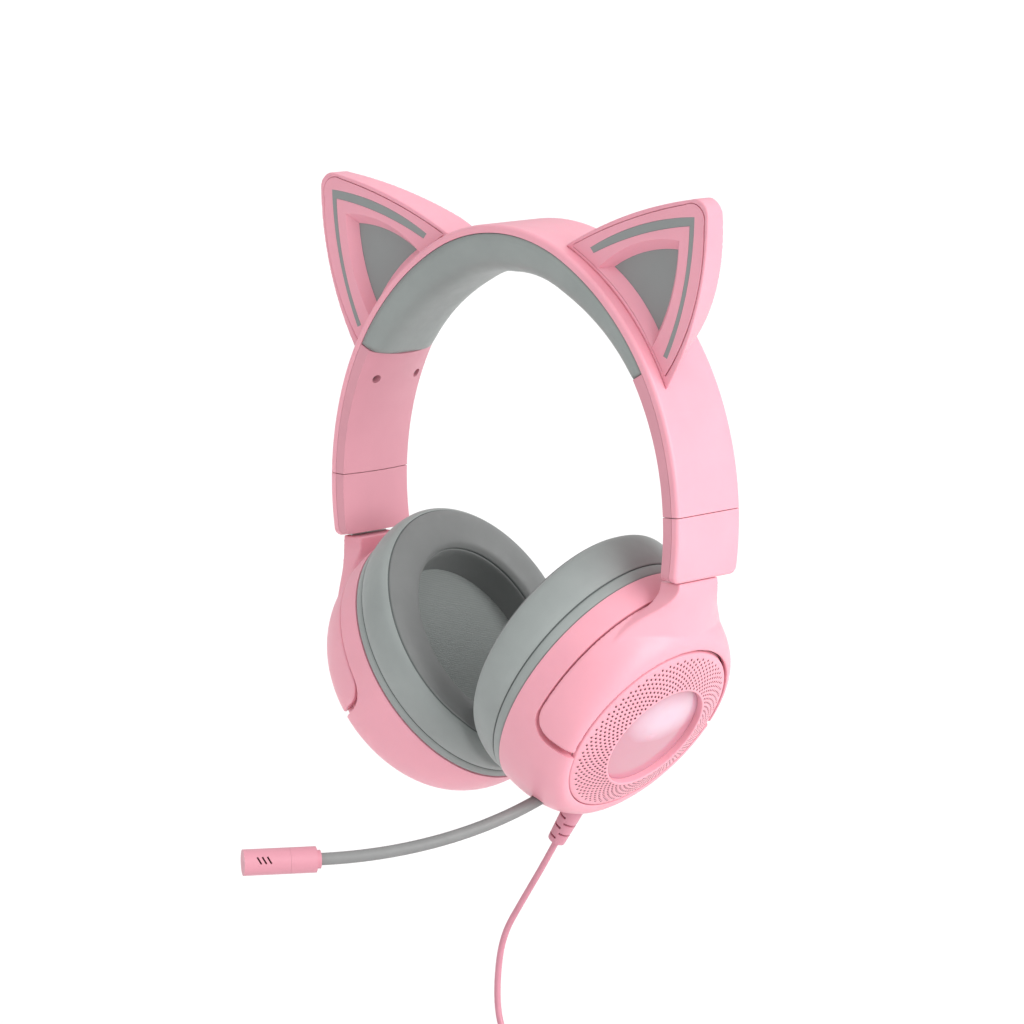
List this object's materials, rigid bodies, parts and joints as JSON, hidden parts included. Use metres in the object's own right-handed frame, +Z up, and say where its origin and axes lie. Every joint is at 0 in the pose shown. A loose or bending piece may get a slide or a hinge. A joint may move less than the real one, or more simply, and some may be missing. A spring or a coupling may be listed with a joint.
{
  "type": "gaming headset",
  "caption": "Over-ear gaming headset with cat-ear light housings, sliding arms, tilting ear cups, a retractable boom microphone and a corded plug.",
  "frame": {"origin": "lowest point of the crown pad's underside, where the headband rests on the head", "axes": "+X to the wearer's left, -Y to the wearer's front, +Z up"},
  "size_m": [0.188, 0.1732, 0.3317],
  "materials": {
    "shell_pink": "satin moulded plastic",
    "ear_pink": "satin moulded plastic",
    "yoke_pink": "satin moulded plastic",
    "grille_pink": "satin moulded plastic with fine round holes",
    "lens_pink": "translucent light window",
    "mic_pink": "satin moulded plastic",
    "light_grey": "milky grey light window",
    "circuit_board": "printed circuit board",
    "pad_grey": "smooth synthetic leather over foam",
    "cushion_grey": "smooth synthetic leather over foam",
    "inner_plastic": "black moulded plastic",
    "spring_steel": "spring steel",
    "screw_steel": "blackened steel screws",
    "magnet_steel": "plated magnet cup",
    "driver_cloth": "thin acoustic cloth",
    "cable_pink": "soft cable jacket and moulded strain relief",
    "tie_grey": "hook and loop strap",
    "plug_steel": "plated plug shell",
    "boom_grey": "soft sleeve over a bendable core"
  },
  "bodies": {
    "root": {"band_outer_shell": "shell_pink", "band_pad": "pad_grey", "pad_base": "inner_plastic", "band_spring": "spring_steel", "cover_screws": "screw_steel", "inner_cover_l": "shell_pink", "inner_cover_r": "shell_pink", "end_cap_outer_l": "shell_pink", "end_cap_outer_r": "shell_pink", "end_cap_inner_l": "shell_pink", "end_cap_inner_r": "shell_pink", "ear_shell_l": "ear_pink", "ear_shell_r": "ear_pink", "ear_panel_l": "ear_pink", "ear_panel_r": "ear_pink", "ear_chevron_l": "light_grey", "ear_chevron_r": "light_grey", "ear_triangle_l": "light_grey", "ear_triangle_r": "light_grey", "ear_board_l": "circuit_board", "ear_board_r": "circuit_board"},
    "yoke_l": {"slider_strip_l": "spring_steel", "yoke_l": "yoke_pink", "pivot_pins_l": "spring_steel"},
    "yoke_r": {"slider_strip_r": "spring_steel", "yoke_r": "yoke_pink", "pivot_pins_r": "spring_steel"},
    "cup_l": {"cup_shell_l": "shell_pink", "grille_l": "grille_pink", "centre_lens_l": "lens_pink", "led_board_l": "circuit_board", "baffle_l": "inner_plastic", "driver_frame_l": "inner_plastic", "driver_magnet_l": "magnet_steel", "driver_cloth_l": "driver_cloth", "ear_cushion_l": "cushion_grey", "cup_screws_l": "screw_steel", "main_board": "circuit_board", "strain_relief": "cable_pink", "cable": "cable_pink", "cable_coil": "cable_pink", "cable_tie": "tie_grey", "usb_overmould": "cable_pink", "usb_shell": "plug_steel"},
    "cup_r": {"cup_shell_r": "shell_pink", "grille_r": "grille_pink", "centre_lens_r": "lens_pink", "led_board_r": "circuit_board", "baffle_r": "inner_plastic", "driver_frame_r": "inner_plastic", "driver_magnet_r": "magnet_steel", "driver_cloth_r": "driver_cloth", "ear_cushion_r": "cushion_grey", "cup_screws_r": "screw_steel"},
    "mic": {"mic_boom": "boom_grey", "mic_rear": "mic_pink", "mic_front": "mic_pink", "mic_capsule": "inner_plastic"},
    "volume_wheel": {"volume_wheel": "shell_pink"},
    "mute_button": {"mute_button": "shell_pink"}
  },
  "joints": [
    {"name": "slider_l", "type": "slide", "parent": "root", "child": "yoke_l", "axis": [0, 0, -1], "range_m": [0, 0.024]},
    {"name": "slider_r", "type": "slide", "parent": "root", "child": "yoke_r", "axis": [0, 0, -1], "range_m": [0, 0.024]},
    {"name": "cup_tilt_l", "type": "hinge", "parent": "yoke_l", "child": "cup_l", "pos_m": [0.05294, -0.0025, -0.15391], "axis": [0, -1, 0], "range_deg": [0, 12]},
    {"name": "cup_tilt_r", "type": "hinge", "parent": "yoke_r", "child": "cup_r", "pos_m": [-0.05294, -0.0025, -0.15391], "axis": [0, 1, 0], "range_deg": [0, 12]},
    {"name": "mic_retract", "type": "hinge", "parent": "cup_l", "child": "mic", "pos_m": [-0.10906, -0.03168, -0.11409], "axis": [-0.4546, 0.3056, -0.8366], "range_deg": [-14.8, 0]},
    {"name": "volume_turn", "type": "hinge", "parent": "cup_l", "child": "volume_wheel", "pos_m": [0.0324, 0.0341, -0.15827], "axis": [0.8329, 0, -0.5534], "range_deg": [-140, 140]},
    {"name": "mute_press", "type": "slide", "parent": "cup_l", "child": "mute_button", "axis": [0.2749, -0.8679, 0.4137], "range_m": [0, 0.0007], "stiffness_N_per_m": 400, "springref_m": -0.0005}
  ]
}
